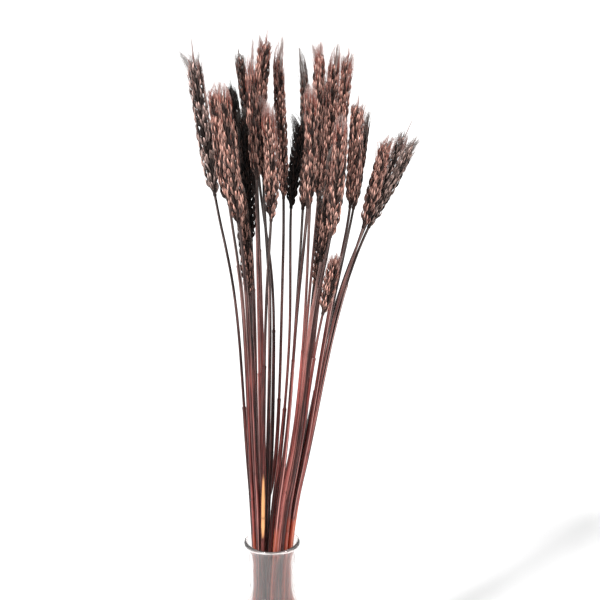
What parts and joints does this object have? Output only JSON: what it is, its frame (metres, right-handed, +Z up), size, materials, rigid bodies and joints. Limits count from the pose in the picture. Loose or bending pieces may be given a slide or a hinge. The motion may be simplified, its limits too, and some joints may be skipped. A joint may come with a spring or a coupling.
{
  "type": "dried wheat ears in a vase",
  "caption": "Bunch of dried, dyed brown wheat ears on long thin straws, spreading from the neck of a clear glass bottle vase.",
  "frame": {"origin": "centre of the vase's flat bottom, on the surface it stands on", "axes": "+Z up along the vase's axis towards the ears; +X to the side that the bunch leans to; -Y is the front"},
  "size_m": [0.1793, 0.0973, 0.6351],
  "materials": {
    "clear_glass": "polished",
    "straw": "satin",
    "husk_light": "matte",
    "husk_mid": "matte",
    "husk_dark": "matte",
    "husk_black": "matte",
    "husk_grey": "matte",
    "husk_greydark": "matte"
  },
  "bodies": {
    "root": {"vase": "clear_glass", "stem_01": "straw", "stem_02": "straw", "stem_03": "straw", "stem_04": "straw", "stem_05": "straw", "stem_06": "straw", "stem_07": "straw", "stem_08": "straw", "stem_09": "straw", "stem_10": "straw", "stem_11": "straw", "stem_12": "straw", "stem_13": "straw", "stem_14": "straw", "stem_15": "straw", "stem_16": "straw", "stem_17": "straw", "stem_18": "straw", "stem_19": "straw", "stem_20": "straw", "stem_21": "straw", "stem_22": "straw", "stem_23": "straw", "stem_24": "straw", "stem_25": "straw", "stem_26": "straw", "stem_27": "straw", "stem_28": "straw", "ear_01": "husk_grey", "ear_02": "husk_light", "ear_03": "husk_light", "ear_04": "husk_dark", "ear_05": "husk_black", "ear_06": "husk_black", "ear_07": "husk_dark", "ear_08": "husk_light", "ear_09": "husk_mid", "ear_10": "husk_mid", "ear_11": "husk_light", "ear_12": "husk_light", "ear_13": "husk_black", "ear_14": "husk_dark", "ear_15": "husk_light", "ear_16": "husk_light", "ear_17": "husk_mid", "ear_18": "husk_mid", "ear_19": "husk_light", "ear_20": "husk_dark", "ear_21": "husk_mid", "ear_22": "husk_dark", "ear_23": "husk_mid", "ear_24": "husk_greydark", "ear_25": "husk_grey", "ear_26": "husk_mid", "ear_27": "husk_dark", "ear_28": "husk_mid"}
  },
  "joints": []
}
